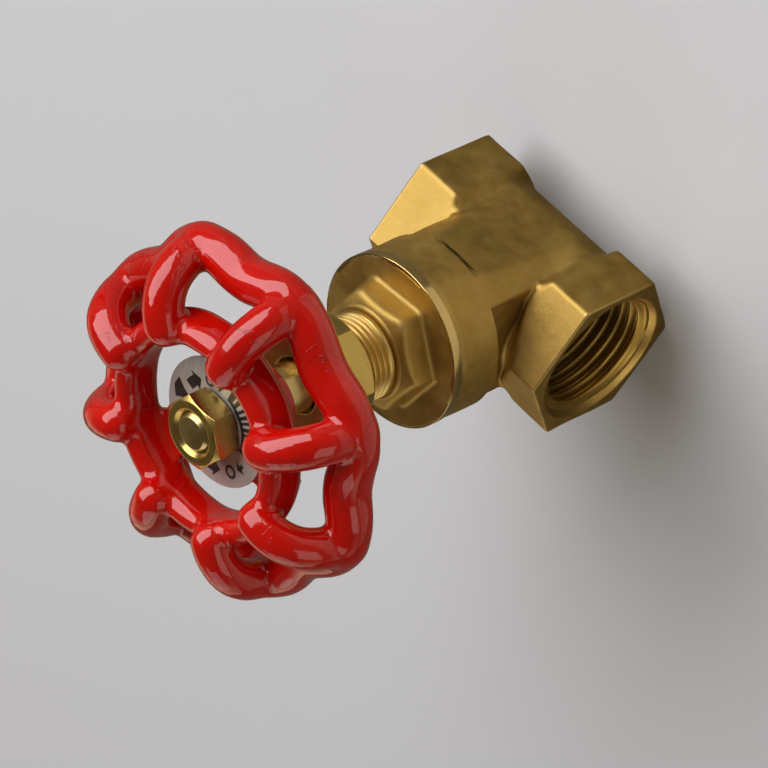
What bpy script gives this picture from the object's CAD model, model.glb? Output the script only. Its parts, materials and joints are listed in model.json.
"""The looks of the half-inch brass gate valve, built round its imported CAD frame.

The flow axis runs along X with the inlet at -X and the outlet at +X, and the stem stands along Z.
Castings and forgings are signed distance fields, meshed by surface nets and pulled on to the exact
surface. Threads are helical height fields, and turned pieces are profiles swept round their axis.
Lengths are millimetres and heights are over the flow axis, unless a comment says otherwise.
"""

import json
import math
from functools import reduce

import bpy
import numpy as np
from mathutils import Matrix, Vector

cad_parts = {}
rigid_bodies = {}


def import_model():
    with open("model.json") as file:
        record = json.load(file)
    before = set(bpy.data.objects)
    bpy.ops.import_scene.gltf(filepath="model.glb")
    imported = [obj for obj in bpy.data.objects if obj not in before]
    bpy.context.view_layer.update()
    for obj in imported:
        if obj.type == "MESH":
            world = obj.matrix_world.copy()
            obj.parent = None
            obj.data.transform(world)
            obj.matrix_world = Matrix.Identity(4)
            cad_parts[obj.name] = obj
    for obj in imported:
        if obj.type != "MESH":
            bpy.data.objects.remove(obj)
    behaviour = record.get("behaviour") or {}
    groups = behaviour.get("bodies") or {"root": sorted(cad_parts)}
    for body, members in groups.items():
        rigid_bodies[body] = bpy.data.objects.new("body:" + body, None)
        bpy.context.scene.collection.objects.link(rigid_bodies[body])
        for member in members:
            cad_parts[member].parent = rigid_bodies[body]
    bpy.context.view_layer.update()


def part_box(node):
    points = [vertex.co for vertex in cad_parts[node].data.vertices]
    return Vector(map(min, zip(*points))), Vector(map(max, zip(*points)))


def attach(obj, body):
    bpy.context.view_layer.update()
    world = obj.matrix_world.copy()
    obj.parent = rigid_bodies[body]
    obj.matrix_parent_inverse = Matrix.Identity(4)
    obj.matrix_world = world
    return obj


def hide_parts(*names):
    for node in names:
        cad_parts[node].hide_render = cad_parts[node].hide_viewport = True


for startup in list(bpy.data.objects):
    bpy.data.objects.remove(startup, do_unlink=True)

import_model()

MM = 0.001
HEX_APOTHEM = 12.5                           # half the width across flats of a port hexagon
FLOW_Z = 2.0 * HEX_APOTHEM / math.sqrt(3.0)  # flow axis over the lowest corner
FACE_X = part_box("body")[1].x / MM            # port face from the stem axis
WEDGE_LEAN = 0.0875                          # slope of the gate's faces and of its chamber
SIN_60 = 0.8660254


def scene_height(height):
    """A height over the flow axis as metres over the floor."""
    return (height + FLOW_Z) * MM


# ================================================================ distance fields
def smin(first, second, blend):
    """Union of two distances, with a fillet of about the blend's size."""
    share = np.clip(0.5 + 0.5 * (second - first) / blend, 0.0, 1.0)
    return second + (first - second) * share - blend * share * (1.0 - share)


def smax(first, second, blend):
    """Overlap of two distances, with an edge rounded by about the blend."""
    return -smin(-first, -second, blend)


def common(*shapes):
    return reduce(np.maximum, shapes)


def either(*shapes):
    return reduce(np.minimum, shapes)


def between(value, low, high):
    return np.maximum(value - high, low - value)


def hexagon(across, along, apothem, blend):
    """Distance to a hexagon with flats facing +-across and corners on +-along."""
    across, along = np.abs(across), np.abs(along)
    return smax(across - apothem, 0.5 * across + SIN_60 * along - apothem, blend)


def turned_hexagon(x, y, apothem, corner_deg, blend):
    angle = math.radians(corner_deg - 90.0)
    cos, sin = math.cos(angle), math.sin(angle)
    return hexagon(cos * x + sin * y, -sin * x + cos * y, apothem, blend)


def waves(x, y, z, size, seed):
    """Smooth, low bumps of about the given wavelength, between about -1 and 1."""
    rng = np.random.RandomState(seed)
    total = 0.0
    for _ in range(6):
        way = rng.normal(size=3)
        way *= 2 * math.pi / (size * (0.7 + 0.8 * rng.rand())) / np.linalg.norm(way)
        total = total + np.sin(way[0] * x + way[1] * y + way[2] * z + rng.rand() * 6.28)
    return total / 3.2


# ================================================================ surface nets
SLAB = 12                                    # grid layers sampled at once, to spare memory
GRID_SHIFT = np.array([0.137, 0.093, 0.071])  # in steps, after a pinched net
PULL_ROUNDS = 3
PULL_REACH = 0.02                            # half the span over which the gradient is taken


def sampled(field, low, step, count):
    axes = [low[a] + step * np.arange(count[a]) for a in range(3)]
    values = np.empty(count, np.float32)
    yy, zz = np.meshgrid(axes[1], axes[2], indexing="ij")
    for i in range(0, count[0], SLAB):
        xx = axes[0][i:i + SLAB][:, None, None] + 0.0 * yy[None]
        values[i:i + SLAB] = field(xx, yy[None] + 0.0 * xx, zz[None] + 0.0 * xx)
    return values


def net(values, count):
    """(points in grid steps, quads): a point per crossed cell and a quad per crossed grid edge."""
    inside = values < 0
    cells = count - 1
    cell_ids, points, quads = [], [], []
    for axis in range(3):
        second_axis, third_axis = (axis + 1) % 3, (axis + 2) % 3
        first, last = [slice(None)] * 3, [slice(None)] * 3
        first[axis], last[axis] = slice(0, -1), slice(1, None)
        start = np.argwhere(inside[tuple(first)] != inside[tuple(last)])
        end = start.copy()
        end[:, axis] += 1
        at_start = values[tuple(start.T)].astype(float)
        at_end = values[tuple(end.T)].astype(float)
        crossing = start.astype(float)
        crossing[:, axis] += at_start / (at_start - at_end)
        around = []
        complete = np.ones(len(start), bool)
        for second_step, third_step in ((-1, -1), (0, -1), (0, 0), (-1, 0)):
            cell = start.copy()
            cell[:, second_axis] += second_step
            cell[:, third_axis] += third_step
            good = (cell >= 0).all(1) & (cell < cells).all(1)
            complete &= good
            ids = np.ravel_multi_index(np.clip(cell, 0, cells - 1).T, cells)
            around.append(np.where(good, ids, -1))
            cell_ids.append(ids[good])
            points.append(crossing[good])
        around = np.stack(around, 1)[complete]
        flip = ~(at_start < 0)[complete]
        around[flip] = around[flip][:, ::-1]
        quads.append(around)
    points = np.concatenate(points)
    unique, inverse = np.unique(np.concatenate(cell_ids), return_inverse=True)
    inverse = inverse.reshape(-1)
    share = np.bincount(inverse)
    verts = np.stack([np.bincount(inverse, points[:, a]) / share for a in range(3)], 1)
    return verts, np.searchsorted(unique, np.concatenate(quads))


def pinched(quads, vert_count):
    """Whether some edge isn't shared by exactly two quads."""
    sides = np.concatenate([quads[:, [k, (k + 1) % 4]] for k in range(4)])
    sides = np.sort(sides, axis=1)
    keys = sides[:, 0] * np.int64(vert_count) + sides[:, 1]
    return (np.unique(keys, return_counts=True)[1] != 2).any()


def pulled(field, verts, step):
    """The points moved along the gradient on to the field's zero level."""
    reach = PULL_REACH
    for _ in range(PULL_ROUNDS):
        x, y, z = verts.T
        distance = field(x, y, z)
        slope = np.stack([field(x + reach, y, z) - field(x - reach, y, z),
                          field(x, y + reach, z) - field(x, y - reach, z),
                          field(x, y, z + reach) - field(x, y, z - reach)], 1) / (2 * reach)
        size = np.maximum((slope * slope).sum(1), 0.05)
        move = np.clip(distance / size, -0.4 * step, 0.4 * step)
        verts = verts - move[:, None] * slope
    return verts


def surface_nets(field, low, high, step, tries=8):
    """(points, quads) of the field's zero level. A pinched net is made again on a shifted grid."""
    low, high = np.array(low, float), np.array(high, float)
    count = np.ceil((high - low) / step).astype(int) + 1
    verts, quads = net(sampled(field, low, step, count), count)
    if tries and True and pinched(quads, len(verts)):
        return surface_nets(field, low + step * GRID_SHIFT, high, step, tries - 1)
    return pulled(field, verts * step + low, step), quads


# ================================================================ objects
def mesh_of(name, verts_mm, faces):
    mesh = bpy.data.meshes.new(name)
    verts = np.array(verts_mm, float)
    verts[:, 2] += FLOW_Z
    verts *= MM
    mesh.from_pydata(verts.tolist(), [], faces)
    return mesh


def add_object(name, mesh, finish, body):
    """Links the mesh as an object that rides on a body. A finish is (material, slot)."""
    material, slot = finish
    obj = bpy.data.objects.new(name, mesh)
    bpy.context.scene.collection.objects.link(obj)
    mesh.materials.append(material)
    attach(obj, body)
    return obj


def smooth_object(name, verts_mm, quads, finish, body, angle=None):
    """A smooth shaded object, with sharp edges where its faces turn by more than the angle."""
    mesh = mesh_of(name, verts_mm, quads.tolist())
    mesh.validate()
    mesh.update()
    mesh.shade_smooth()
    if angle is not None:
        mesh.set_sharp_from_angle(angle=math.radians(angle))
    return add_object(name, mesh, finish, body)


BEND_REACH = 0.45                            # how far round a point its bend is measured
NORMAL_REACH = 0.14


def add_wear(obj, verts, field):
    """Stores how far each point stands on an edge (+) or in a corner (-), and true normals."""
    def shifted(axis, reach):
        moved = np.array(verts, float)
        moved[:, axis] += reach
        return field(moved[:, 0], moved[:, 1], moved[:, 2])
    around = sum(shifted(axis, sign * BEND_REACH)
                 for axis in range(3) for sign in (-1.0, 1.0)) / 6.0
    bend = around - shifted(0, 0.0)
    wear = obj.data.attributes.new("bend", "FLOAT", "POINT")
    wear.data.foreach_set("value", bend.astype(np.float32))
    slope = np.stack([shifted(axis, NORMAL_REACH) - shifted(axis, -NORMAL_REACH)
                      for axis in range(3)], axis=1)
    slope /= np.maximum(np.linalg.norm(slope, axis=1, keepdims=True), 1e-9)
    obj.data.normals_split_custom_set_from_vertices(slope.tolist())


def from_field(name, field, low, high, step, finish, body, replaces=None, worn=False):
    """A piece meshed from its field. It stands in for the CAD piece that it replaces."""
    verts, quads = surface_nets(field, low, high, step * (1.0))
    obj = smooth_object(name, verts, quads, finish, body)
    if worn:
        add_wear(obj, verts, field)
    if replaces:
        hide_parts(replaces)


def outward(verts, quads):
    """Quads with their faces turned outwards."""
    triangles = np.concatenate([quads[:, [0, 1, 2]], quads[:, [0, 2, 3]]])
    corners = verts[triangles]
    volume = np.einsum("ij,ij->i", corners[:, 0], np.cross(corners[:, 1], corners[:, 2])).sum()
    return quads if volume > 0 else quads[:, ::-1]


def swept(name, profile, finish, body, turns, angle, along="z"):
    """A closed profile carried round an axis. profile(angles) gives (radius, height) arrays of
    shape (points, angles), so that a thread can change with the angle."""
    angles = np.arange(turns) * 2 * math.pi / turns
    radius, height = profile(angles)
    count = radius.shape[0]
    round_axis = [radius * np.cos(angles), radius * np.sin(angles)]
    places = round_axis + [height] if along == "z" else [height] + round_axis
    verts = np.stack(places, -1).transpose(1, 0, 2).reshape(-1, 3)
    turn = np.arange(turns)[:, None]
    point = np.arange(count)[None]
    next_turn, next_point = (turn + 1) % turns, (point + 1) % count
    quads = np.stack([turn * count + point, turn * count + next_point,
                      next_turn * count + next_point, next_turn * count + point], -1)
    quads = quads.reshape(-1, 4)
    return smooth_object(name, verts, outward(verts, quads), finish, body, angle)


def rounded(points, radius, segments=3):
    """The closed polygon with each corner cut back and rounded by about the given radius.
    Corners that are nearly straight or lie on the axis stay."""
    out = []
    for i in range(len(points)):
        before, corner, after = (np.array(points[(i + k) % len(points)], float)
                                 for k in (-1, 0, 1))
        back, ahead = before - corner, after - corner
        back_length, ahead_length = np.linalg.norm(back), np.linalg.norm(ahead)
        turn = np.dot(back / back_length, ahead / ahead_length)
        cut = min(radius, 0.45 * back_length, 0.45 * ahead_length)
        if turn < -0.995 or corner[0] <= 1e-3:
            out.append(tuple(corner))
            continue
        start = corner + back / back_length * cut
        end = corner + ahead / ahead_length * cut
        for j in range(segments + 1):
            t = j / segments
            out.append(tuple((1 - t) ** 2 * start + 2 * t * (1 - t) * corner + t * t * end))
    return out


def turned(name, points, finish, body, edge, replaces=None, turns=128):
    """A lathe piece from a closed outline of (radius, height) points, its edges rounded."""
    outline = np.array([(max(radius, 0.02), z) for radius, z in rounded(points, edge)])

    def profile(angles):
        ones = np.ones_like(angles)
        return outline[:, :1] * ones, outline[:, 1:] * ones
    obj = swept(name, profile, finish, body, turns, angle=32.0)
    if replaces:
        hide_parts(replaces)


def turned_ring(name, outer, inner, low, top, finish, body, edge, replaces=None, turns=128):
    """A turned ring of rectangular section."""
    outline = [(outer, top), (outer, low), (inner, low), (inner, top)]
    turned(name, outline, finish, body, edge, replaces, turns)


def thread(name, profile, finish, body, turns, along="z"):
    swept(name, profile, finish, body, turns, angle=60.0, along=along)


def with_wall(radius, height, wall):
    """A thread's profile closed by a plain wall at the given radius."""
    wall_radius = np.full((2, radius.shape[1]), wall)
    return np.concatenate([radius, wall_radius]), np.concatenate([height, height[[-1, 0]]])


def triangle_wave(phase, cut=1.0, scale=1.0):
    """A triangle wave whose peaks are blunter the lower the cut."""
    return 2 / math.pi * np.arcsin(cut * np.sin(phase)) / scale


# ================================================================ shader helpers
class Nodes:
    """Wires the shader nodes of a material or a world."""

    def __init__(self, owner):
        owner.use_nodes = True
        self.tree = owner.node_tree
        self.coord = self.tree.nodes.new("ShaderNodeTexCoord")

    def node(self, kind, **settings):
        made = self.tree.nodes.new(kind)
        for key, value in settings.items():
            setattr(made, key, value)
        return made

    def put(self, socket, value):
        if isinstance(value, bpy.types.NodeSocket):
            self.tree.links.new(value, socket)
        else:
            socket.default_value = value

    def texture(self, kind, settings, **inputs):
        made = self.node(kind, **settings)
        for key, value in inputs.items():
            self.put(made.inputs[key], value)
        return made

    def axes(self, source=None):
        split = self.node("ShaderNodeSeparateXYZ")
        self.put(split.inputs[0], source or self.coord.outputs["Object"])
        return split.outputs

    def span(self, value, given, to=(0.0, 1.0)):
        """Maps the given range on to another one, and clamps."""
        made = self.node("ShaderNodeMapRange")
        self.put(made.inputs["Value"], value)
        for key, end in zip(("From Min", "From Max", "To Min", "To Max"), (*given, *to)):
            self.put(made.inputs[key], end)
        return made.outputs["Result"]

    def maths(self, operation, first, second=0.0):
        made = self.node("ShaderNodeMath", operation=operation)
        self.put(made.inputs[0], first)
        self.put(made.inputs[1], second)
        return made.outputs[0]

    def plus(self, first, second):
        return self.maths("ADD", first, second)

    def minus(self, first, second):
        return self.maths("SUBTRACT", first, second)

    def times(self, first, second):
        return self.maths("MULTIPLY", first, second)

    def gap(self, first, second):
        """How far apart two values are."""
        return self.maths("ABSOLUTE", self.minus(first, second))

    def weighed(self, first, second, share):
        """The mean of two values, where the first has the given share."""
        return self.plus(self.times(first, share), self.times(second, 1.0 - share))

    def length(self, first, second):
        return self.maths("SQRT", self.plus(self.times(first, first),
                                            self.times(second, second)))

    def mix_surface(self, factor, first, second, output):
        """Blends two shaders into the named output node."""
        mixer = self.node("ShaderNodeMixShader")
        for socket, value in zip(mixer.inputs, (factor, first, second)):
            self.put(socket, value)
        self.put(self.tree.nodes[output].inputs["Surface"], mixer.outputs[0])


class Material(Nodes):
    """A principled material. Texture scales are per metre."""

    def __init__(self, name):
        self.material = bpy.data.materials.new(name)
        super().__init__(self.material)
        self.shader = self.tree.nodes["Principled BSDF"]

    def surface(self, values):
        for key, value in values.items():
            self.put(self.shader.inputs[key], value)
        return self.material

    def where(self, scale=(1.0, 1.0, 1.0), turn=(0.0, 0.0, 0.0)):
        made = self.texture("ShaderNodeMapping", {}, Vector=self.coord.outputs["Object"],
                            Scale=scale, Rotation=turn)
        return made.outputs["Vector"]

    def noise(self, scale, detail=4.0, rough=0.55, vector=None, distortion=0.0):
        made = self.texture("ShaderNodeTexNoise", {}, Scale=scale, Detail=detail,
                            Vector=vector or self.coord.outputs["Object"],
                            Roughness=rough, Distortion=distortion)
        return made.outputs["Fac"]

    def lines(self, along, detail=2.0):
        """Noise along one value only."""
        made = self.texture("ShaderNodeTexNoise", {"noise_dimensions": "1D"}, W=along,
                            Scale=1.0, Detail=detail)
        return made.outputs["Fac"]

    def cells(self, scale):
        made = self.texture("ShaderNodeTexVoronoi", {}, Scale=scale,
                            Vector=self.coord.outputs["Object"])
        return made.outputs["Distance"]

    def ramp(self, value, stops):
        """A colour ramp through two or more (position, colour) stops."""
        made = self.node("ShaderNodeValToRGB")
        self.put(made.inputs["Fac"], value)
        elements = made.color_ramp.elements
        while len(elements) < len(stops):
            elements.new(0.5)
        for element, (position, colour) in zip(elements, stops):
            element.position = position
            element.color = (*colour, 1.0)
        return made.outputs["Color"]

    def mix(self, factor, first, second):
        made = self.node("ShaderNodeMix", data_type="RGBA")
        self.put(made.inputs[0], factor)
        for socket, value in ((made.inputs[6], first), (made.inputs[7], second)):
            self.put(socket, (*value, 1.0) if isinstance(value, tuple) else value)
        return made.outputs[2]

    def bumps(self, *layers):
        """Layers of (height, strength, distance in mm), each laid over the one before."""
        normal = None
        for height, strength, distance in layers:
            made = self.texture("ShaderNodeBump", {}, Height=height, Strength=strength,
                                Distance=distance * MM)
            if normal is not None:
                self.put(made.inputs["Normal"], normal)
            normal = made.outputs["Normal"]
        return normal


def scaled(colour, factor):
    return tuple(channel * factor for channel in colour)


# ================================================================ materials
def collar_dirt(mat, px, py, pz):
    """Dirt that has gathered under the collar, thickest at the middle and on the +Y side."""
    arch_z, under_z = 16.84, 17.50           # middle of the arched patch, top of the strip
    arch = mat.minus(0.00040, mat.times(mat.times(px, px), 21.0))
    arch = mat.minus(arch, mat.gap(pz, scene_height(arch_z)))
    arch = mat.times(mat.span(arch, given=(0.0, 0.00010), to=(0.0, 0.92)),
                     mat.span(mat.noise(scale=900.0, detail=3.0, rough=0.6),
                              given=(0.3, 0.6), to=(0.75, 1.0)))
    under = mat.times(
        mat.span(pz, given=(scene_height(arch_z), scene_height(16.95))),
        mat.span(pz, given=(scene_height(under_z), scene_height(17.58)), to=(1.0, 0.0)))
    under = mat.times(under, mat.span(mat.maths("ABSOLUTE", px), given=(0.0022, 0.0036),
                                      to=(0.85, 0.0)))
    return mat.times(mat.maths("MAXIMUM", arch, under),
                     mat.span(py, given=(-0.002, 0.002), to=(0.25, 1.0)))


def forged_brass():
    mat = Material("forged_brass_blasted")
    cloud = mat.noise(scale=95.0, detail=5.0, rough=0.6)
    mottle = mat.noise(scale=420.0, rough=0.6)
    grain = mat.noise(scale=2600.0, detail=3.0, rough=0.65)
    base = mat.ramp(mat.weighed(cloud, mottle, share=0.6), [
        (0.34, (0.39, 0.253, 0.062)), (0.52, (0.50, 0.338, 0.092)), (0.68, (0.59, 0.415, 0.128))])
    # rubbed edges, dull hollows and stains
    bend = mat.node("ShaderNodeAttribute", attribute_name="bend").outputs["Fac"]
    edge = mat.span(bend, given=(0.030, 0.110))
    hollow = mat.span(bend, given=(-0.012, -0.060))
    base = mat.mix(mat.times(edge, 0.50), base, (0.78, 0.585, 0.24))
    base = mat.mix(mat.times(hollow, 0.55), base, (0.30, 0.20, 0.075))
    stain = mat.noise(scale=230.0, detail=6.0, rough=0.7, distortion=0.8,
                      vector=mat.where(turn=(0.3, 1.1, 0.2)))
    base = mat.mix(mat.span(stain, given=(0.60, 0.72), to=(0.0, 0.45)), base,
                   (0.33, 0.24, 0.115))
    px, py, pz = mat.axes()
    base = mat.mix(collar_dirt(mat, px, py, pz), base, (0.055, 0.034, 0.012))
    rough = mat.span(mat.weighed(mottle, cloud, share=0.6), given=(0.3, 0.7), to=(0.43, 0.58))
    rough = mat.minus(rough, mat.times(edge, 0.16))
    # the cut mouths of the ports are brighter and smoother
    flow_radius = mat.length(py, mat.minus(pz, FLOW_Z * MM))
    mouth = mat.times(
        mat.span(flow_radius, given=(0.01145, 0.01152), to=(1.0, 0.0)),
        mat.span(mat.maths("ABSOLUTE", px), given=(0.0168, 0.0170)))
    dimple = mat.span(mat.cells(scale=1500.0), given=(0.0, 0.7))
    return mat.surface({
        "Base Color": mat.mix(mouth, base, (0.66, 0.445, 0.135)),
        "Metallic": 1.0,
        "Roughness": mat.span(mouth, given=(0.0, 1.0), to=(rough, 0.34)),
        "Normal": mat.bumps((dimple, 0.16, 0.05), (grain, 0.22, 0.05), (mottle, 0.28, 0.12))})


def scratches(mat):
    """Short, faintly curved scratches: ridges of stretched noise, broken up by a second noise."""
    line = mat.noise(scale=190.0, detail=1.0, rough=0.4, distortion=0.6,
                     vector=mat.where(scale=(1.0, 0.22, 0.55), turn=(1.7, 1.17, 2.21)))
    ridge = mat.span(mat.gap(line, 0.5), given=(0.0, 0.0035), to=(1.0, 0.0))
    patch = mat.noise(scale=171.0, detail=2.0, rough=0.5, vector=mat.where(turn=(1.3, 2.0, 0.3)))
    return mat.times(ridge, mat.span(patch, given=(0.56, 0.68)))


def machined_brass(name, light, rings, roughness, round_flow=False, marked=1.0):
    """Bright cut brass with tool marks round the stem axis, or round the flow axis. rings is the
    fineness of the marks per metre, and marked scales their depth."""
    mat = Material(name)
    px, py, pz = mat.axes()
    if round_flow:
        radius, along = mat.length(py, mat.minus(pz, FLOW_Z * MM)), px
    else:
        radius, along = mat.length(px, py), pz
    turned_at = mat.plus(mat.times(radius, 1.0), mat.times(along, 0.83))
    tool = mat.lines(mat.times(turned_at, rings), detail=3.0)
    cloud = mat.noise(scale=160.0, rough=0.6)
    base = mat.ramp(mat.weighed(tool, cloud, share=0.35),
                    [(0.34, scaled(light, 0.80)), (0.62, light)])
    marks = scratches(mat)
    base = mat.mix(mat.times(marks, 0.35), base, scaled(light, 0.55))
    if round_flow:
        # cutting oil that dried deeper in the thread
        oil = mat.times(
            mat.span(mat.maths("ABSOLUTE", px), given=(0.0115, 0.0172), to=(0.72, 0.0)),
            mat.span(cloud, given=(0.3, 0.7), to=(0.85, 1.0)))
        base = mat.mix(oil, base, scaled(light, 0.26))
    fine = mat.noise(scale=1500.0, detail=2.0, rough=0.5)
    return mat.surface({
        "Base Color": base,
        "Metallic": 1.0,
        "Roughness": mat.span(cloud, given=(0.3, 0.7), to=(roughness * 0.8, roughness * 1.35)),
        "Normal": mat.bumps((tool, 0.22 * marked, 0.03), (fine, 0.10 * marked, 0.03),
                            (marks, 0.25, -0.03))})


def enamel():
    mat = Material("red_enamel_thick")
    cloud = mat.noise(scale=70.0, detail=3.0, rough=0.5)
    pointiness = mat.node("ShaderNodeNewGeometry").outputs["Pointiness"]
    hollow = mat.span(pointiness, given=(0.49, 0.44))
    base = mat.ramp(cloud, [(0.30, (0.51, 0.0030, 0.0010)), (0.70, (0.64, 0.0050, 0.0016))])
    base = mat.mix(mat.times(hollow, 0.55), base, (0.34, 0.003, 0.0025))
    # small chips and pinholes that went dark
    spots = mat.span(mat.cells(scale=330.0), given=(0.02, 0.13), to=(1.0, 0.0))
    patch = mat.noise(scale=120.0, detail=2.0, rough=0.5, vector=mat.where(turn=(0.7, 0.2, 1.9)))
    pin = mat.times(spots, mat.span(patch, given=(0.58, 0.62)))
    # fine wrinkles in patches of the thick coat
    crack = mat.noise(scale=240.0, detail=2.0, rough=0.5, distortion=1.4,
                      vector=mat.where(scale=(1.0, 0.45, 0.8), turn=(0.5, 0.9, 0.2)))
    patch = mat.noise(scale=95.0, detail=2.0, rough=0.5, vector=mat.where(turn=(1.3, 0.4, 0.9)))
    wrinkle = mat.times(mat.span(mat.gap(crack, 0.5), given=(0.0, 0.013), to=(1.0, 0.0)),
                        mat.span(patch, given=(0.53, 0.60)))
    base = mat.mix(mat.times(pin, 0.7), base, (0.12, 0.002, 0.002))
    base = mat.mix(mat.times(wrinkle, 0.65), base, (0.10, 0.002, 0.002))
    # casting lines run round the hub under the plate, still seen through the coat
    px, py, pz = mat.axes()
    near_hub = mat.span(mat.length(px, py), given=(0.0106, 0.0118), to=(1.0, 0.0))
    sway = mat.times(mat.noise(scale=160.0, detail=2.0, rough=0.5), 1.2)
    lines = mat.lines(mat.plus(mat.times(pz, 1900.0), sway))
    flow = mat.noise(scale=190.0, detail=2.0, rough=0.45, distortion=0.3)
    peel = mat.noise(scale=620.0, detail=2.0, rough=0.5)
    normal = mat.bumps((flow, 0.30, 0.16), (peel, 0.10, 0.05),
                       (mat.times(lines, near_hub), 0.9, 0.22),
                       (pin, 0.5, -0.10), (wrinkle, 0.5, -0.05))
    return mat.surface({
        "Base Color": base,
        "Metallic": 0.0,
        "Roughness": mat.span(mat.noise(scale=300.0, detail=3.0, rough=0.6),
                              given=(0.3, 0.7), to=(0.16, 0.30)),
        "IOR": 1.45,
        "Specular IOR Level": 0.12,
        "Coat Weight": 1.0,
        "Coat Roughness": mat.plus(0.035, mat.times(wrinkle, 0.25)),
        "Coat IOR": 1.58,
        "Normal": normal,
        "Coat Normal": normal})


def plate_metal():
    mat = Material("plate_satin")
    fine = mat.noise(scale=900.0, detail=3.0, rough=0.6,
                     vector=mat.where(scale=(1.0, 0.06, 1.0), turn=(0.0, 0.0, 0.6)))
    base = mat.ramp(fine, [(0.3, (0.43, 0.42, 0.39)), (0.7, (0.56, 0.55, 0.51))])
    smear = mat.noise(scale=180.0, rough=0.6)
    smeared = mat.span(smear, given=(0.55, 0.75), to=(0.0, 0.35))
    return mat.surface({
        "Base Color": mat.mix(smeared, base, (0.46, 0.44, 0.42)),
        "Metallic": 0.25,
        "Roughness": mat.span(smear, given=(0.3, 0.7), to=(0.28, 0.45)),
        "Normal": mat.bumps((fine, 0.15, 0.02))})


def plate_ink():
    mat = Material("plate_black_print")
    worn = mat.noise(scale=700.0, detail=3.0, rough=0.6)
    return mat.surface({
        "Base Color": mat.ramp(worn, [(0.35, (0.012, 0.011, 0.011)),
                                      (0.75, (0.035, 0.032, 0.030))]),
        "Roughness": mat.span(worn, given=(0.3, 0.7), to=(0.35, 0.55)),
        "Normal": mat.bumps((worn, 0.1, 0.01))})


def plain_soft(name, dark, light, roughness, scale):
    """The soft rings inside: PTFE and fibre sheet."""
    mat = Material(name)
    speckle = mat.noise(scale=scale, rough=0.6)
    return mat.surface({
        "Base Color": mat.ramp(speckle, [(0.3, dark), (0.7, light)]),
        "Roughness": mat.span(mat.noise(scale=scale * 0.4, detail=2.0), given=(0.3, 0.7),
                              to=(roughness * 0.85, min(1.0, roughness * 1.15))),
        "Normal": mat.bumps((speckle, 0.2, 0.03))})


# finishes: (material, slot)
FORGED = (forged_brass(), "forged_brass")
BRIGHT = (machined_brass("turned_brass_bright", light=(0.80, 0.595, 0.225), rings=5200.0,
                         roughness=0.22), "turned_brass")
NUT = (machined_brass("nut_brass_milled", light=(0.70, 0.51, 0.150), rings=3600.0,
                      roughness=0.25), "turned_brass")
STEM = (machined_brass("stem_brass_turned", light=(0.72, 0.55, 0.235), rings=4300.0,
                       roughness=0.24), "turned_brass")
PORT = (machined_brass("port_thread_brass", light=(0.74, 0.49, 0.125), rings=3000.0,
                       roughness=0.33, round_flow=True, marked=0.35), "turned_brass")
RIM = (machined_brass("flange_rim_turned", light=(0.76, 0.575, 0.235), rings=4200.0,
                      roughness=0.15, marked=0.35), "turned_brass")
THREAD = (machined_brass("neck_thread_brass", light=(0.80, 0.57, 0.19), rings=5200.0,
                         roughness=0.31, marked=0.10), "turned_brass")
GATE = (machined_brass("gate_brass_faced", light=(0.68, 0.52, 0.24), rings=2500.0,
                       roughness=0.30), "forged_brass")
ENAMEL = (enamel(), "red_enamel")
PLATE = (plate_metal(), "plate")
INK = (plate_ink(), "plate")
PTFE = (plain_soft("packing_ptfe_white", dark=(0.70, 0.70, 0.66), light=(0.86, 0.86, 0.83),
                   roughness=0.45, scale=900.0), "packing")
FIBRE = (plain_soft("gasket_fibre_brown", dark=(0.07, 0.040, 0.026), light=(0.21, 0.13, 0.085),
                    roughness=0.85, scale=1600.0), "gasket")

# ================================================================ valve body, as forged
COLLAR_R, COLLAR_LOW, COLLAR_TOP = 13.80, 17.6, 25.80
BARREL_LOW, BARREL_TOP = -4.0, 20.0
BARREL_HALF_X, BARREL_HALF_Y = 9.1, 12.42
TUBE_R, TUBE_END = 12.35, 12.0               # round core along the flow axis
HEX_INNER = 10.1                             # inner end of a hexagon, low down
PORT_R = 10.62                               # bore that the thread sits in
PORT_DEPTH_X = 7.9
MOUTH_R, MOUTH_DEPTH = 11.45, 1.4
FLOW_R = 6.5
CHAMBER_HALF_X, CHAMBER_R = 5.35, 9.0        # the pocket for the wedge
POCKET_HALF_X, POCKET_HALF_Y, POCKET_LOW = 6.7, 9.25, 9.3
CAVITY_TOP = 19.0
BONNET_BORE_R, BONNET_BORE_LOW = 11.8, 18.2
GASKET_SEAT_R, GASKET_SEAT_LOW = 13.3, 24.6


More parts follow.
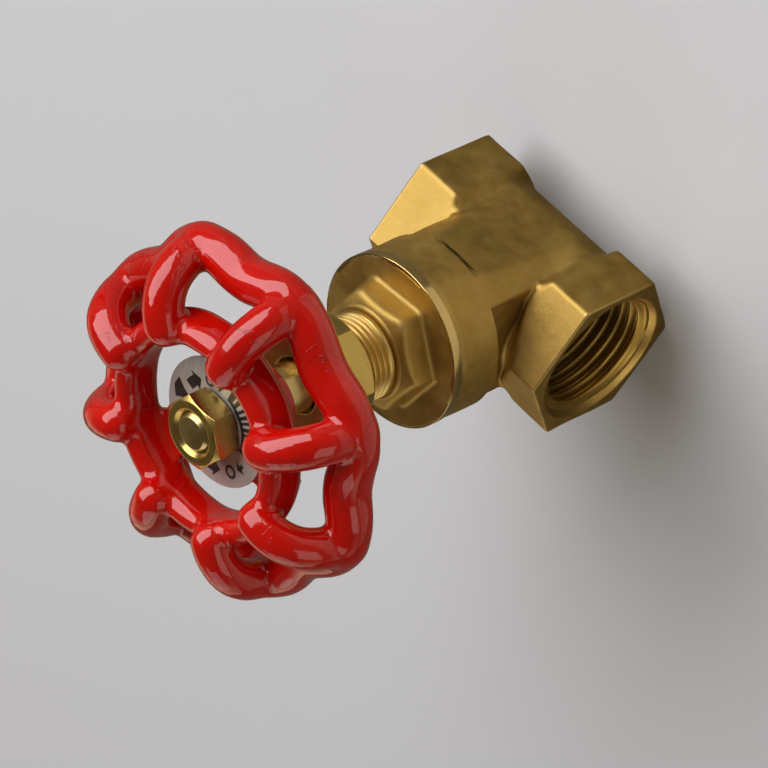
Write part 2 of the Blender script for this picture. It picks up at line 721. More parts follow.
def body_outside(x, y, z):
    side_x = np.abs(x)
    flow_radius = np.sqrt(y * y + z * z)
    stem_radius = np.sqrt(x * x + y * y)
    hexes = hexagon(y, z, HEX_APOTHEM, 0.55)
    # inner ends: leaning over the upper corner, and falling away to the barrel beside the flats
    corner_end = 7.35 + 0.85 * np.maximum(z - 7.2, 0.0)
    hexes = smax(hexes, 0.72 * (corner_end - side_x), 0.3)
    hexes = smax(hexes, 0.88 * (10.2 - side_x + 0.52 * (np.abs(y) - 12.36)), 1.1)
    low_end = HEX_INNER - 3.0 * np.clip((z + 3.0) / 6.0, 0.0, 1.0)
    hexes = smax(hexes, low_end - side_x, 0.5)
    hexes = smax(hexes, side_x - FACE_X, 0.32)
    tube = smax(flow_radius - (TUBE_R - 1.25 * np.clip((z + 3.0) / 7.0, 0.0, 1.0)),
                side_x - TUBE_END, 0.6)
    flat = np.abs(y) - (BARREL_HALF_Y + 0.036 * np.clip(z, 0.0, 20.0))
    side = smax(smax(side_x - BARREL_HALF_X, flat, 0.5), stem_radius - COLLAR_R, 0.28)
    barrel = smax(smax(side, z - BARREL_TOP, 0.5), BARREL_LOW - z, 2.5)
    # fillets are fuller low down
    low = np.clip((10.2 - z) / 2.6, 0.0, 1.0)
    solid = smin(smin(tube, barrel, 0.8 + 1.2 * low), hexes, 0.45 + 1.15 * low)
    collar = smax(stem_radius - COLLAR_R, between(z, COLLAR_LOW, COLLAR_TOP), 0.10)
    collar_fillet = (0.02 + 0.2 * np.clip((5.0 - side_x) / 1.5, 0.0, 1.0)
                     + 0.28 * np.clip((side_x - 9.0) / 1.0, 0.0, 1.0))
    return smin(solid, collar, collar_fillet) + 0.04 * waves(x, y, z, size=8.0, seed=5)


def body_cuts(x, y, z):
    """What the tools cut: ports and mouths, flow bore, gate chamber and bonnet bore."""
    side_x = np.abs(x)
    flow_radius = np.sqrt(y * y + z * z)
    stem_radius = np.sqrt(x * x + y * y)
    bore = smax(flow_radius - PORT_R, PORT_DEPTH_X - side_x, 0.15)
    mouth = np.maximum(flow_radius - (MOUTH_R - (FACE_X - side_x)),
                       FACE_X - MOUTH_DEPTH - side_x)
    chamber = common(side_x - (CHAMBER_HALF_X + z * WEDGE_LEAN), np.abs(y) - CHAMBER_R,
                     np.where(z < 0, flow_radius - CHAMBER_R, -1.0), z - CAVITY_TOP)
    pocket = common(side_x - POCKET_HALF_X, np.abs(y) - POCKET_HALF_Y, POCKET_LOW - z,
                    z - CAVITY_TOP)
    top = np.minimum(np.maximum(stem_radius - BONNET_BORE_R, BONNET_BORE_LOW - z),
                     np.maximum(stem_radius - GASKET_SEAT_R, GASKET_SEAT_LOW - z))
    return either(bore, mouth, flow_radius - FLOW_R, chamber, pocket, top)


def body_field(x, y, z):
    return smax(body_outside(x, y, z), -body_cuts(x, y, z), 0.18)


from_field("body_forging", body_field, low=(-19.8, -15.0, -15.2), high=(19.8, 15.0, 26.4),
           step=0.335, finish=FORGED, body="valve_body", replaces="body", worn=True)

# ---------------------------------------------------------------- G 1/2 female port threads
PORT_PITCH, PORT_CREST_R, PORT_ROOT_R = 1.814, 9.34, 10.40
PORT_THREAD_IN = 8.0
PORT_THREAD_OUT = FACE_X - (MOUTH_R - PORT_R) - 0.02


def port_thread(name, side):
    """One port's thread, from the mouth chamfer to its run-out. side is the sign of X."""
    def profile(angles):
        x = np.linspace(PORT_THREAD_IN, PORT_THREAD_OUT, 96)[:, None] + 0.0 * angles
        phase = 2 * math.pi * x / PORT_PITCH + angles * side + 0.9
        wave = 0.75 * np.sin(phase) + 0.25 * triangle_wave(phase, cut=0.94, scale=0.78)
        radius = (0.5 * (PORT_CREST_R + PORT_ROOT_R)
                  - 0.5 * (PORT_ROOT_R - PORT_CREST_R) * np.clip(wave, -1.0, 1.0))
        run_out = np.clip((x - PORT_THREAD_IN) / 1.5, 0.0, 1.0)
        radius = PORT_ROOT_R - (PORT_ROOT_R - radius) * run_out
        radius = smax(radius, PORT_R - 0.02 - 2.4 * (PORT_THREAD_OUT - x), 0.12)
        radius, x = with_wall(radius, x, PORT_R + 0.25)
        return radius, x * side
    thread(name, profile, PORT, "valve_body", turns=168, along="x")


port_thread("outlet_port_thread", 1)
port_thread("inlet_port_thread", -1)

# ================================================================ bonnet
DISC_R, DISC_LOW, DISC_TOP = 13.64, 25.45, 26.96
BONNET_HEX_APOTHEM, BONNET_HEX_CORNER, BONNET_HEX_LOW = 8.62, 5.5, 25.8
CROWN_Z, CROWN_SLOPE, CROWN_R = 31.65, 0.42, 7.9  # the hexagon's top falls away outside CROWN_R
SHOULDER_R, SHOULDER_TOP = 7.45, 32.05
POST_R, POST_LOW, POST_TOP = 6.45, 28.0, 33.0
SKIRT_R, SKIRT_LOW, SKIRT_TOP = 11.4, 18.6, 26.0
BONNET_HOLLOWS = ((9.6, 25.6), (6.2, 31.4))  # (radius, top)
BONNET_BORE = 5.35
NECK_LOW, NECK_TOP = 31.9, 42.6
NECK_CHAMFER_Z = NECK_TOP - 0.6
NECK_ROOT_R = 6.42


def bonnet_field(x, y, z):
    radius = np.sqrt(x * x + y * y)
    disc = np.maximum(smax(radius - DISC_R, z - DISC_TOP, 0.12), DISC_LOW - z)
    crown = CROWN_Z - CROWN_SLOPE * np.maximum(radius - CROWN_R, 0.0)
    apothem = BONNET_HEX_APOTHEM + 0.05 * np.clip(31.0 - z, 0.0, 4.0)
    hexagonal = smax(turned_hexagon(x, y, apothem, BONNET_HEX_CORNER, 1.05),
                     (z - crown) * 0.92, 0.8)
    solid = smin(disc, np.maximum(hexagonal, BONNET_HEX_LOW - z), 0.95)
    solid = solid + 0.035 * waves(x, y, z, size=7.0, seed=9)
    # the turned shoulder and the foot of the neck
    shoulder = smax(radius - SHOULDER_R, between(z, POST_LOW, SHOULDER_TOP), 0.25)
    solid = smin(solid, shoulder, 0.55)
    post = smax(radius - POST_R, between(z, POST_LOW, POST_TOP), 0.2)
    solid = smin(solid, post, 0.25)
    solid = np.minimum(solid, np.maximum(radius - SKIRT_R, between(z, SKIRT_LOW, SKIRT_TOP)))
    hollows = [np.maximum(radius - size, z - top) for size, top in BONNET_HOLLOWS]
    return smax(solid, -either(*hollows, radius - BONNET_BORE), 0.15)


from_field("bonnet_forging", bonnet_field, low=(-14.6, -14.6, 17.9), high=(14.6, 14.6, 33.8),
           step=0.22, finish=FORGED, body="valve_body", replaces="bonnet", worn=True)
turned_ring("bonnet_flange_rim", outer=13.87, inner=13.0, low=25.3, top=26.95, finish=RIM,
            body="valve_body", edge=0.16, turns=192)


def neck_profile(angles):
    """The M14 x 1 male thread of the stuffing box, over its turned foot."""
    z = np.concatenate([np.linspace(NECK_LOW, NECK_CHAMFER_Z, 236),
                        np.linspace(NECK_TOP - 0.5, NECK_TOP, 5)])[:, None] + 0.0 * angles
    phase = 2 * math.pi * z / 1.0 - angles
    wave = 0.7 * np.sin(phase) + 0.3 * np.clip(triangle_wave(phase, 0.93, 0.76), -1.0, 1.0)
    radius = 6.72 + 0.29 * wave
    # a thick bead where the thread starts, then the full thread
    bead = 7.02 - 0.9 * np.abs(z - 32.75) ** 2.2
    starting = NECK_ROOT_R + (radius - NECK_ROOT_R) * np.clip((z - 32.9) / 0.8, 0.0, 1.0)
    radius = np.where(z < 33.2, common(NECK_ROOT_R + 0.0 * z, bead, starting), radius)
    chamfer = 6.95 - 1.0 * np.maximum(z - NECK_CHAMFER_Z, 0.0)
    return with_wall(np.minimum(radius, chamfer + 0.05), z, 5.3)


thread("bonnet_neck_thread", neck_profile, THREAD, "valve_body", turns=192)

# ================================================================ nuts
# The packing nut on the neck. A chamfer starts at a radius, and its scale makes it a distance.
PACK_NUT_APOTHEM, PACK_NUT_CORNER = 8.5, 20.0
PACK_NUT_LOW, PACK_NUT_TOP = 37.8, 46.2
PACK_NUT_BORE, PACK_NUT_THREAD_R, PACK_NUT_THREAD_TOP = 4.3, 7.25, 44.4
PACK_NUT_SINK_LOW = PACK_NUT_TOP - 0.5       # foot of the countersink


def packing_nut_field(x, y, z):
    radius = np.sqrt(x * x + y * y)
    solid = turned_hexagon(x, y, PACK_NUT_APOTHEM, PACK_NUT_CORNER, 0.22)
    solid = smax(solid, (z - (PACK_NUT_TOP - 0.58 * (radius - 8.25))) * 0.865, 0.14)
    solid = smax(solid, z - PACK_NUT_TOP, 0.14)
    solid = smax(solid, ((PACK_NUT_LOW + 0.9 * (radius - 8.3)) - z) * 0.743, 0.14)
    solid = smax(solid, PACK_NUT_LOW - z, 0.14)
    hole = either(np.maximum(radius - PACK_NUT_THREAD_R, z - PACK_NUT_THREAD_TOP),
                  radius - PACK_NUT_BORE,
                  np.maximum(radius - (PACK_NUT_BORE + 0.7 * (z - PACK_NUT_SINK_LOW)),
                             PACK_NUT_SINK_LOW - z))
    return smax(solid, -hole, 0.12) + 0.012 * waves(x, y, z, size=6.0, seed=21)


from_field("packing_nut_milled", packing_nut_field, low=(-10.6, -10.6, 37.2),
           high=(10.6, 10.6, 46.8), step=0.15, finish=NUT, body="gland_nut",
           replaces="packing_nut")

# The nut that holds the wheel. Each chamfer is (radius where it starts, slope).
WHEEL_NUT_APOTHEM, WHEEL_NUT_CORNER = 5.2, 58.0
WHEEL_NUT_LOW, WHEEL_NUT_TOP = 62.0, 66.25
WHEEL_NUT_CHAMFER_TOP, WHEEL_NUT_CHAMFER_LOW = (4.95, 0.55), (5.1, 0.5)
WHEEL_NUT_BORE = 3.2
SINK_R, SINK_SLOPE, SINK_DEPTH = 3.85, 1.1, 0.62
WHEEL_NUT_EDGE = 0.09


def wheel_nut_field(x, y, z):
    edge = WHEEL_NUT_EDGE
    radius = np.sqrt(x * x + y * y)
    solid = turned_hexagon(x, y, WHEEL_NUT_APOTHEM, WHEEL_NUT_CORNER, edge * 1.6)
    solid = smax(solid, z - WHEEL_NUT_TOP, edge)
    solid = smax(solid, WHEEL_NUT_LOW - z, edge)
    start, slope = WHEEL_NUT_CHAMFER_TOP
    cone = z - (WHEEL_NUT_TOP - slope * (radius - start))
    solid = smax(solid, cone / math.sqrt(1 + slope * slope), edge)
    start, slope = WHEEL_NUT_CHAMFER_LOW
    cone = (WHEEL_NUT_LOW + slope * (radius - start)) - z
    solid = smax(solid, cone / math.sqrt(1 + slope * slope), edge)
    sink = np.maximum(radius - SINK_R - (z - WHEEL_NUT_TOP) * SINK_SLOPE,
                      WHEEL_NUT_TOP - SINK_DEPTH - z)
    solid = smax(solid, -np.minimum(radius - WHEEL_NUT_BORE, sink), edge)
    return solid + 0.012 * waves(x, y, z, size=5.0, seed=11)


nut_reach = WHEEL_NUT_APOTHEM / 0.866 + 0.6
from_field("wheel_nut_milled", wheel_nut_field,
           low=(-nut_reach, -nut_reach, WHEEL_NUT_LOW - 0.6),
           high=(nut_reach, nut_reach, WHEEL_NUT_TOP + 0.6),
           step=0.09, finish=NUT, body="spindle", replaces="wheel_nut")

# ================================================================ stem
STEM_TOP = 66.3
STEM_OUTLINE = [                             # (radius, height), from the top down
    (0.0, STEM_TOP), (2.5, STEM_TOP), (3.12, STEM_TOP - 0.62), (3.12, 60.6), (2.9, 60.2),
    (2.9, 51.0), (3.75, 51.0), (4.0, 50.75), (4.0, 36.2), (5.15, 36.2), (5.15, 34.3),
    (3.95, 34.3), (3.95, 31.7), (3.4, 31.1), (3.0, 30.6), (3.0, 10.0), (2.6, 9.1), (0.0, 9.1)]
LEAD_LOW, LEAD_TOP, LEAD_PITCH = 10.0, 30.4, 2.0
LEAD_MEAN_R, LEAD_HALF_DEPTH, LEAD_END_R = 3.1, 0.33, 2.96
SQUARE_HALF, SQUARE_LOW, SQUARE_TOP, SQUARE_CORNER_R = 3.0, 50.9, 60.2, 3.98

turned("stem_turned", STEM_OUTLINE, STEM, "spindle", edge=0.12, replaces="stem")


def stem_thread(angles):
    """The left-hand trapezoidal thread that lifts the gate."""
    z = np.linspace(LEAD_LOW, LEAD_TOP, 204)[:, None] + 0.0 * angles
    wave = triangle_wave(2 * math.pi * z / LEAD_PITCH + angles)
    radius = LEAD_MEAN_R + LEAD_HALF_DEPTH * np.clip(1.9 * wave, -1.0, 1.0)
    fade = np.clip(np.minimum(z - LEAD_LOW, LEAD_TOP - z) / 0.8, 0.0, 1.0)
    return with_wall(LEAD_END_R + (radius - LEAD_END_R) * fade, z, 1.5)


thread("stem_lead_thread", stem_thread, STEM, "spindle", turns=96)


def square_field(x, y, z):
    square = smax(np.abs(x) - SQUARE_HALF, np.abs(y) - SQUARE_HALF, 0.25)
    square = smax(square, between(z, SQUARE_LOW, SQUARE_TOP), 0.1)
    return smax(square, np.sqrt(x * x + y * y) - SQUARE_CORNER_R, 0.15)


from_field("stem_square", square_field, low=(-3.8, -3.8, 50.4), high=(3.8, 3.8, 60.8),
           step=0.16, finish=STEM, body="spindle")

# ================================================================ handwheel under thick enamel
WHEEL_TURN = math.radians(34.3)
LOBES = 8                                    # ribs, and waves of the rim
RIM_R, RIM_WAVE, RIM_Z, RIM_TUBE = 24.4, 1.18, 56.97, 3.42
RING_R, RING_LOW, RING_TOP, RING_TUBE = 15.72, 61.9, 64.75, 2.02
RIB_TUBE = 3.08
# a rib's middle line, a curve through three control points of (radius, height)
RIB_START, RIB_BEND, RIB_END = np.array([(16.72, 66.6), (24.63, 66.74), (25.60, RIM_Z)])
along_rib = np.linspace(0.0, 1.0, 15)[:, None]
RIB_LINE = ((1 - along_rib) ** 2 * RIB_START + 2 * along_rib * (1 - along_rib) * RIB_BEND
            + along_rib * along_rib * RIB_END)
HUB_R, HUB_LOW, HUB_TOP = 6.15, 51.25, 60.9
HUB_BEAD_R, HUB_BEAD_Z, HUB_BEAD_TUBE = 6.3, 55.7, 0.42
SPOKES = [math.radians(-9.0 + 120.0 * k) for k in range(3)]
SPOKE_IN, SPOKE_OUT, SPOKE_Z = 3.5, 15.8, 58.2
SPOKE_HALF_WIDTH, SPOKE_HALF_DEPTH = 3.35, 1.5
WHEEL_SQUARE_HALF = 3.3


def rib_distance(outward_x, across, z):
    """Distance to the middle line of a rib that lies in the plane across = 0."""
    squares = []
    for start, end in zip(RIB_LINE[:-1], RIB_LINE[1:]):
        run = end - start
        part = np.clip(((outward_x - start[0]) * run[0] + (z - start[1]) * run[1]) / (run @ run),
                       0.0, 1.0)
        off_x = outward_x - start[0] - part * run[0]
        off_z = z - start[1] - part * run[1]
        squares.append(off_x * off_x + off_z * off_z)
    return np.sqrt(either(*squares) + across * across)


def wheel_ribs(radius, phi, z):
    lobe = 2 * math.pi / LOBES
    index = np.floor(phi / lobe + 0.5)
    local = phi - index * lobe
    # castings are never quite even: each rib differs a little
    uneven = 0.07 * np.sin(index * 2.3 + 0.7) + 0.05 * np.sin(index * 4.1)
    across = radius * np.sin(local) + 0.22 * np.sin(index * 1.7)
    return rib_distance(radius * np.cos(local), across, z) - (RIB_TUBE + uneven)


def wheel_rim(radius, phi, z):
    wave = np.cos(LOBES * phi)
    path = RIM_R + RIM_WAVE * wave
    slope = -LOBES * RIM_WAVE * np.sin(LOBES * phi) / path
    off = (radius - path) / np.sqrt(1 + slope * slope)
    return np.sqrt(off * off + (z - RIM_Z) ** 2) - (RIM_TUBE - 0.08 * wave)


def spoke(x, y, z, angle):
    cos, sin = math.cos(angle), math.sin(angle)
    along, across = cos * x + sin * y, -sin * x + cos * y
    middle = SPOKE_Z + 0.20 * (along - 5.0)
    slab = smax(np.abs(across) - (SPOKE_HALF_WIDTH + 0.05 * np.maximum(along - 5.0, 0.0)),
                np.abs(z - middle) - SPOKE_HALF_DEPTH, 0.9)
    return smax(slab, between(along, SPOKE_IN, SPOKE_OUT), 0.4)


def wheel_hub(x, y, z, radius):
    """The hub with a bead round its waist, flaring up under the plate, and its spokes."""
    flare = HUB_R + 3.35 * np.clip((z - 55.6) / 4.3, 0.0, 1.0) ** 1.25
    hub = smax((radius - flare) * 0.80, between(z, HUB_LOW, HUB_TOP), 0.45)
    bead = np.sqrt((radius - HUB_BEAD_R) ** 2 + (z - HUB_BEAD_Z) ** 2) - HUB_BEAD_TUBE
    hub = smin(hub, bead, 0.35)
    return smin(hub, either(*[spoke(x, y, z, angle) for angle in SPOKES]), 1.2)


def wheel_field(x, y, z):
    radius = np.sqrt(x * x + y * y) + 1e-9
    phi = np.arctan2(y, x) - WHEEL_TURN
    ring_z = z - np.clip(z, RING_LOW, RING_TOP)
    ring = np.sqrt((radius - RING_R) ** 2 + ring_z ** 2) - RING_TUBE
    wheel = smin(wheel_rim(radius, phi, z), wheel_ribs(radius, phi, z), 0.95)
    wheel = smin(wheel, ring, 1.15)
    wheel = smin(wheel, wheel_hub(x, y, z, radius), 1.3)
    wheel = (wheel + 0.075 * waves(x, y, z, size=9.0, seed=3)
             + 0.03 * waves(x, y, z, size=4.0, seed=4))
    square = np.maximum(np.abs(x), np.abs(y)) - WHEEL_SQUARE_HALF
    return smax(wheel, -square, 0.2)


from_field("handwheel_enamelled", wheel_field, low=(-30.0, -30.0, 50.6), high=(30.0, 30.0, 70.9),
           step=0.345, finish=ENAMEL, body="spindle", replaces="handwheel")

# ================================================================ the printed disc on the wheel
PLATE_TOP = 61.7
PRINT_LOW, PRINT_TOP = PLATE_TOP - 0.02, PLATE_TOP + 0.035
turned_ring("id_plate_disc", outer=10.14, inner=3.35, low=61.2, top=PLATE_TOP, finish=PLATE,
            body="spindle", edge=0.1, replaces="id_plate", turns=144)


def polar(radius, degrees):
    return radius * math.cos(math.radians(degrees)), radius * math.sin(math.radians(degrees))


def inked(name, verts, faces):
    mesh = mesh_of(name, verts, faces)
    mesh.update()
    add_object(name, mesh, INK, "spindle")


def printed(name, outlines):
    """Thin printed shapes, each a closed outline of (radius, degrees) points."""
    verts, faces = [], []
    for outline in outlines:
        count, start = len(outline), len(verts)
        for z in (PRINT_LOW, PRINT_TOP):
            verts += [(*polar(*point), z) for point in outline]
        faces.append([start + count + i for i in range(count)])
        faces.append([start + count - 1 - i for i in range(count)])
        for i in range(count):
            j = (i + 1) % count
            faces.append([start + i, start + j, start + count + j, start + count + i])
    inked(name, verts, faces)


def printed_rings(name, rings, parts=40):
    """Small printed rings of (centre radius, centre degrees, size, width)."""
    verts, faces = [], []
    for centre_radius, degrees, size, width in rings:
        centre_x, centre_y = polar(centre_radius, degrees)
        start = len(verts)
        section = ((size, PRINT_TOP), (size - width, PRINT_TOP),
                   (size - width, PRINT_LOW), (size, PRINT_LOW))
        for i in range(parts):
            angle = 2 * math.pi * i / parts
            for radius, z in section:
                verts.append((centre_x + radius * math.cos(angle),
                              centre_y + radius * math.sin(angle), z))
        for i in range(parts):
            here, there = start + 4 * i, start + 4 * ((i + 1) % parts)
            for k in range(4):
                m = (k + 1) % 4
                faces.append([here + k, there + k, there + m, here + m])
    inked(name, verts, faces)


def arc_band(inner, outer, start, end, count):
    """A band between two radii, from one angle to another."""
    out = [(outer, start + (end - start) * i / count) for i in range(count + 1)]
    return out + [(inner, end - (end - start) * i / count) for i in range(count + 1)]


def arrow(middle, half, head, tail, neck, tip, count=10):
    """A curved arrow: a band from the tail to the neck and a head that ends in a point."""
    out = [(middle + half, tail + (neck - tail) * i / count) for i in range(count + 1)]
    back = [(middle - half, neck - (neck - tail) * i / count) for i in range(count + 1)]
    return out + [(middle + head, neck), (middle, tip), (middle - head, neck)] + back


# the graduated arc: degrees of each dark block and of the pale gap after it, going clockwise
ARC_START = 79.0
ARC_BLOCKS = ((8.5, 3.5), (5.5, 5.0), (4.0, 3.5), (4.5, 3.0), (3.5, 4.0),
              (5.0, 3.0), (3.5, 4.5), (4.5, 3.0), (3.0, 3.5), (6.0, 2.5))
WEDGE_MARK = [(8.9, 168.0), (7.5, 173.0), (6.0, 178.0), (5.8, 190.0),
              (6.7, 186.0), (7.5, 189.0), (8.6, 192.0), (9.2, 180.0)]


def graduated_arc():
    bands = []
    edge = ARC_START
    for dark, pale in ARC_BLOCKS:
        bands.append(arc_band(5.75, 8.75, edge - dark, edge, count=6))
        bands.append(arc_band(5.75, 6.35, edge - dark - pale + 0.05, edge - dark - 0.05, count=3))
        edge -= dark + pale
    return bands + [arc_band(5.6, 9.1, edge - 3.5, edge, count=3)]


printed("id_plate_print", graduated_arc() + [
    # two large arrows, the wedge and two small pointers
    arrow(middle=7.6, half=0.80, head=1.55, tail=-92.0, neck=-76.0, tip=-64.0),
    arrow(middle=6.75, half=0.85, head=1.55, tail=161.0, neck=145.0, tip=133.0),
    WEDGE_MARK,
    arrow(middle=6.6, half=0.30, head=1.0, tail=104.0, neck=99.0, tip=90.5, count=3),
    arrow(middle=7.6, half=0.30, head=1.1, tail=-21.0, neck=-26.0, tip=-33.0, count=3)])
printed_rings("id_plate_rings", [(7.6, -46.5, 1.1, 0.42), (6.7, 116.0, 0.95, 0.36)])

# ================================================================ pieces inside
STUFFING_R, PACKING_BORE = 5.15, 4.1
PACKING_LOW, PACKING_PITCH, PACKING_HEIGHT = 37.5, 1.4, 1.1
GLAND_OUTLINE = [(6.1, 44.1), (6.1, 42.95), (5.1, 42.95), (5.1, 41.7), (4.15, 41.7), (4.15, 44.1)]

turned_ring("bonnet_gasket_ring", outer=13.2, inner=12.0, low=24.7, top=25.2, finish=FIBRE,
            body="valve_body", edge=0.08, replaces="bonnet_gasket")
turned_ring("thrust_washer_ring", outer=STUFFING_R, inner=PACKING_BORE, low=36.5, top=37.2,
            finish=BRIGHT, body="valve_body", edge=0.08, replaces="stem_thrust_washer")
for i, place in enumerate(("lower", "middle", "upper")):
    ring_low = PACKING_LOW + i * PACKING_PITCH
    ring_name = "packing_ring_" + place
    turned_ring(ring_name + "_ptfe", outer=STUFFING_R, inner=PACKING_BORE, low=ring_low,
                top=ring_low + PACKING_HEIGHT, finish=PTFE, body="valve_body", edge=0.2,
                replaces=ring_name)
turned("gland_follower_turned", GLAND_OUTLINE, BRIGHT, "gland", edge=0.12,
       replaces="gland_follower")

GATE_R, GATE_HALF_X = 8.0, 5.0
GATE_HUB_R, GATE_HUB_LOW, GATE_HUB_TOP = 5.4, 2.0, 14.0
GATE_BORE, GATE_BORE_LOW = 3.75, -6.5
RELIEF_R, RELIEF_DEPTH = 5.6, 0.45
GATE_COS = 0.996                             # makes the leaning faces a true distance


def gate_field(x, y, z):
    radius = np.sqrt(x * x + y * y)
    flow_radius = np.sqrt(y * y + z * z)
    face = np.abs(x) - (GATE_HALF_X + z * WEDGE_LEAN)
    wedge = smax(flow_radius - GATE_R, face * GATE_COS, 0.35)
    hub = smax(radius - GATE_HUB_R, between(z, GATE_HUB_LOW, GATE_HUB_TOP), 0.35)
    hub = smax(hub, (np.abs(x) - (4.95 + z * WEDGE_LEAN)) * GATE_COS, 0.3)
    solid = smin(wedge, hub, 0.8)
    # the relieved middle of each sealing face leaves a raised ring
    relief = common(flow_radius - RELIEF_R, -(face + RELIEF_DEPTH), z - 20)
    solid = smax(solid, -relief, 0.2)
    return smax(solid, -np.maximum(radius - GATE_BORE, GATE_BORE_LOW - z), 0.15)


from_field("wedge_gate_faced", gate_field, low=(-7.2, -8.8, -8.8), high=(7.2, 8.8, 14.8),
           step=0.2, finish=GATE, body="gate", replaces="wedge_gate")

# ================================================================ floor and world
BACKDROP = (0.585, 0.570, 0.540)
PAPER = (0.74, 0.765, 0.80)
FLOOR_IN_METAL = (0.18, 0.162, 0.13)         # what reflections see of the floor
CARD_IN_METAL = (0.74, 0.68, 0.58)           # and of its part on the camera's side
FLOOR_R, FLOOR_DROP, FLOOR_PARTS = 6.0, 0.0002, 64  # metres, metres, corners


def floor_material():
    """Pale paper. In reflections it is darker, so that the metal keeps its contrast, but for
    the part towards the camera, which reflects like a white card."""
    mat = Material("studio_floor_pale")
    cloud = mat.noise(scale=9.0, detail=3.0, rough=0.5)
    fine = mat.noise(scale=420.0, detail=3.0, rough=0.6)
    base = mat.ramp(cloud, [(0.3, scaled(PAPER, 0.985)), (0.7, PAPER)])
    seen = mat.node("ShaderNodeLightPath").outputs["Is Camera Ray"]
    px, py, _ = mat.axes()
    front = mat.plus(mat.times(px, 0.546), mat.times(py, 0.838))
    mask = mat.times(mat.span(px, given=(-0.006, -0.002)), mat.span(front, given=(0.030, 0.040)))
    mat.surface({
        "Base Color": mat.mix(seen, mat.mix(mask, FLOOR_IN_METAL, CARD_IN_METAL), base),
        "Roughness": 0.75,
        "Specular IOR Level": 0.2,
        "Normal": mat.bumps((fine, 0.05, 0.05))})
    # to the camera, the far floor takes the backdrop's brightness, so that no horizon shows
    away = mat.span(mat.length(px, py), given=(0.10, 0.75))
    away = mat.times(mat.times(away, away), mat.minus(3.0, mat.times(away, 2.0)))
    glow = mat.texture("ShaderNodeEmission", {}, Color=(*BACKDROP, 1.0))
    mat.mix_surface(mat.times(away, seen), mat.shader.outputs[0], glow.outputs[0],
                    "Material Output")
    return mat.material


def add_floor():
    mesh = bpy.data.meshes.new("studio_floor")
    angles = [2 * math.pi * i / FLOOR_PARTS for i in range(FLOOR_PARTS)]
    verts = [(0.0, 0.0, 0.0)]
    verts += [(FLOOR_R * math.cos(angle), FLOOR_R * math.sin(angle), 0.0) for angle in angles]
    mesh.from_pydata(verts, [], [(0, 1 + i, 1 + (i + 1) % FLOOR_PARTS)
                                 for i in range(FLOOR_PARTS)])
    floor = bpy.data.objects.new("studio_floor", mesh)
    floor.location.z = -FLOOR_DROP
    mesh.materials.append(floor_material())
    bpy.context.scene.collection.objects.link(floor)


def add_world():
    """A warm sky, dimmer overhead, with a paler wall at -Y that lights the sides turned away
    from the key. The camera sees the plain backdrop."""
    world = bpy.data.worlds.new("studio")
    bpy.context.scene.world = world
    sky = Nodes(world)
    _, way_y, way_z = sky.axes(sky.coord.outputs["Generated"])
    dome = sky.span(way_z, given=(0.05, 0.50), to=(0.22, 0.088))
    wall = sky.times(sky.span(way_y, given=(-0.25, -0.90), to=(0.0, 0.75)),
                     sky.span(way_z, given=(0.45, 0.15)))
    background = sky.tree.nodes["Background"]
    sky.put(background.inputs["Color"], (0.92, 0.755, 0.53, 1.0))
    sky.put(background.inputs["Strength"], sky.plus(wall, dome))
    seen = sky.texture("ShaderNodeBackground", {}, Color=(*BACKDROP, 1.0), Strength=1.0)
    camera_ray = sky.node("ShaderNodeLightPath").outputs["Is Camera Ray"]
    sky.mix_surface(camera_ray, background.outputs[0], seen.outputs[0], "World Output")


add_floor()
add_world()

# ================================================================ camera and lights
CAMERA_PLACE = (286.37778, 429.85527, 415.02123)
CAMERA_TURN = Vector((-2.2870, -0.6490, 0.9010))  # axis times angle in radians
CAMERA_LENS, CAMERA_SENSOR = 203.15625, 36.0
LIGHTS_AIM = Vector((0.0, 0.0, scene_height(28.0)))

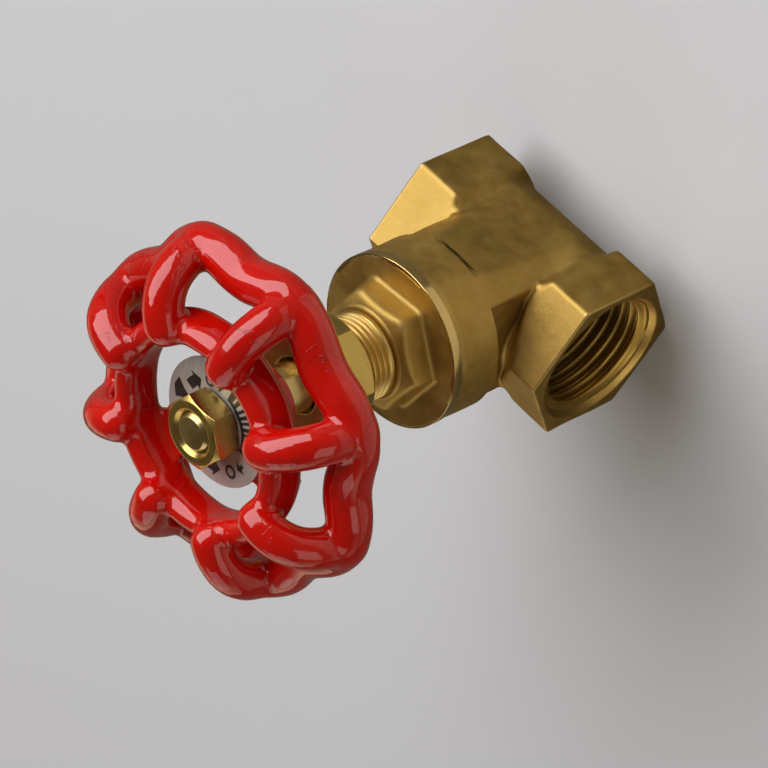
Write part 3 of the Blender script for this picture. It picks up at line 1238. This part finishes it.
# world to camera; the rows are the camera's right, down and ahead
right, down, ahead = Matrix.Rotation(CAMERA_TURN.length, 3, CAMERA_TURN.normalized())
up, left, back = -down, -right, -ahead


def placed(x_axis, y_axis, z_axis, place):
    """The matrix of an object with the given axes and place."""
    rows = [(x_axis[i], y_axis[i], z_axis[i], place[i]) for i in range(3)]
    return Matrix(rows + [(0, 0, 0, 1)])


def add_camera():
    data = bpy.data.cameras.new("view")
    camera = bpy.data.objects.new("view", data)
    bpy.context.scene.collection.objects.link(camera)
    place = Vector(CAMERA_PLACE) * MM + Vector((0.0, 0.0, FLOW_Z * MM))
    camera.matrix_world = placed(right, up, back, place)
    data.sensor_width = CAMERA_SENSOR
    data.lens = CAMERA_LENS
    data.clip_start, data.clip_end = 0.05, 30.0
    bpy.context.scene.camera = camera


def softbox(name, direction, distance, width, height, radiance, colour, long_axis=None):
    """A rectangular soft light that faces the valve's middle from the given direction, in
    metres. Its width lies along long_axis, or level. Its radiance is even over its face."""
    data = bpy.data.lights.new(name, "AREA")
    data.shape = "RECTANGLE"
    data.size, data.size_y = width, height
    data.energy = radiance * math.pi * width * height
    data.color = colour
    light = bpy.data.objects.new(name, data)
    bpy.context.scene.collection.objects.link(light)
    facing = direction.normalized()
    across = long_axis if long_axis is not None else Vector((0.0, 0.0, 1.0)).cross(facing)
    across = (across - facing * across.dot(facing)).normalized()
    light.matrix_world = placed(across, facing.cross(across), facing,
                                LIGHTS_AIM + facing * distance)
    light.visible_camera = False


add_camera()
softbox("key", direction=left * 0.68 + up * 0.50 + back * 0.54, distance=0.85, width=1.30,
        height=0.76, radiance=3.3, colour=(1.0, 0.975, 0.98),
        long_axis=right * 0.89 + up * 0.75 + back * 0.40)
softbox("side_card", direction=Vector((0.92, 0.12, 0.30)), distance=0.8, width=0.6, height=0.36,
        radiance=0.85, colour=(1.0, 0.94, 0.84))
softbox("far_card", direction=Vector((0.35, -0.80, 0.50)), distance=1.0, width=0.7, height=0.5,
        radiance=0.7, colour=(1.0, 0.99, 0.97))
bpy.context.scene.view_settings.view_transform = "Standard"
